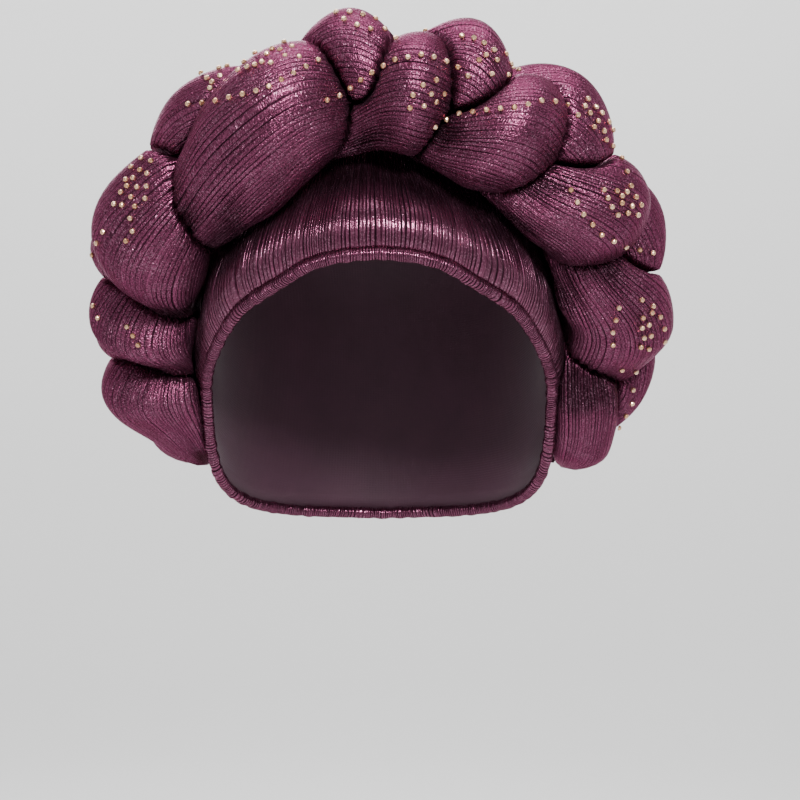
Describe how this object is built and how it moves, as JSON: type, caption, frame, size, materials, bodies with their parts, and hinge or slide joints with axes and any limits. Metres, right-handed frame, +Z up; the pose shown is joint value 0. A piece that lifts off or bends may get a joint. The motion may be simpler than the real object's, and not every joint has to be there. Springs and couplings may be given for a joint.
{
  "type": "tied gele head tie",
  "caption": "Ready-tied gele head wrap: fitted pleated cap with a rolled hem and a thick padded braid over the crown.",
  "frame": {"origin": "inner side of the cap's crown, where the wearer's head carries the wrap", "axes": "+Z up along the wearer's head, the face opening towards -Y, +X towards the viewer's right when seen from the front"},
  "size_m": [0.2657, 0.2127, 0.2247],
  "materials": {
    "pleated_cloth": "fine crushed pleats with a metallic sheen",
    "hem_cloth": "gathered, with a metallic sheen",
    "braid_cloth": "long pleats over soft filling, with a metallic sheen",
    "gold_stone": "small cut stones, champagne gold, polished"
  },
  "bodies": {
    "root": {"fitted_cap": "pleated_cloth", "face_hem": "hem_cloth", "braid_strand_a": "braid_cloth", "braid_strand_b": "braid_cloth", "braid_strand_c": "braid_cloth"}
  },
  "joints": []
}
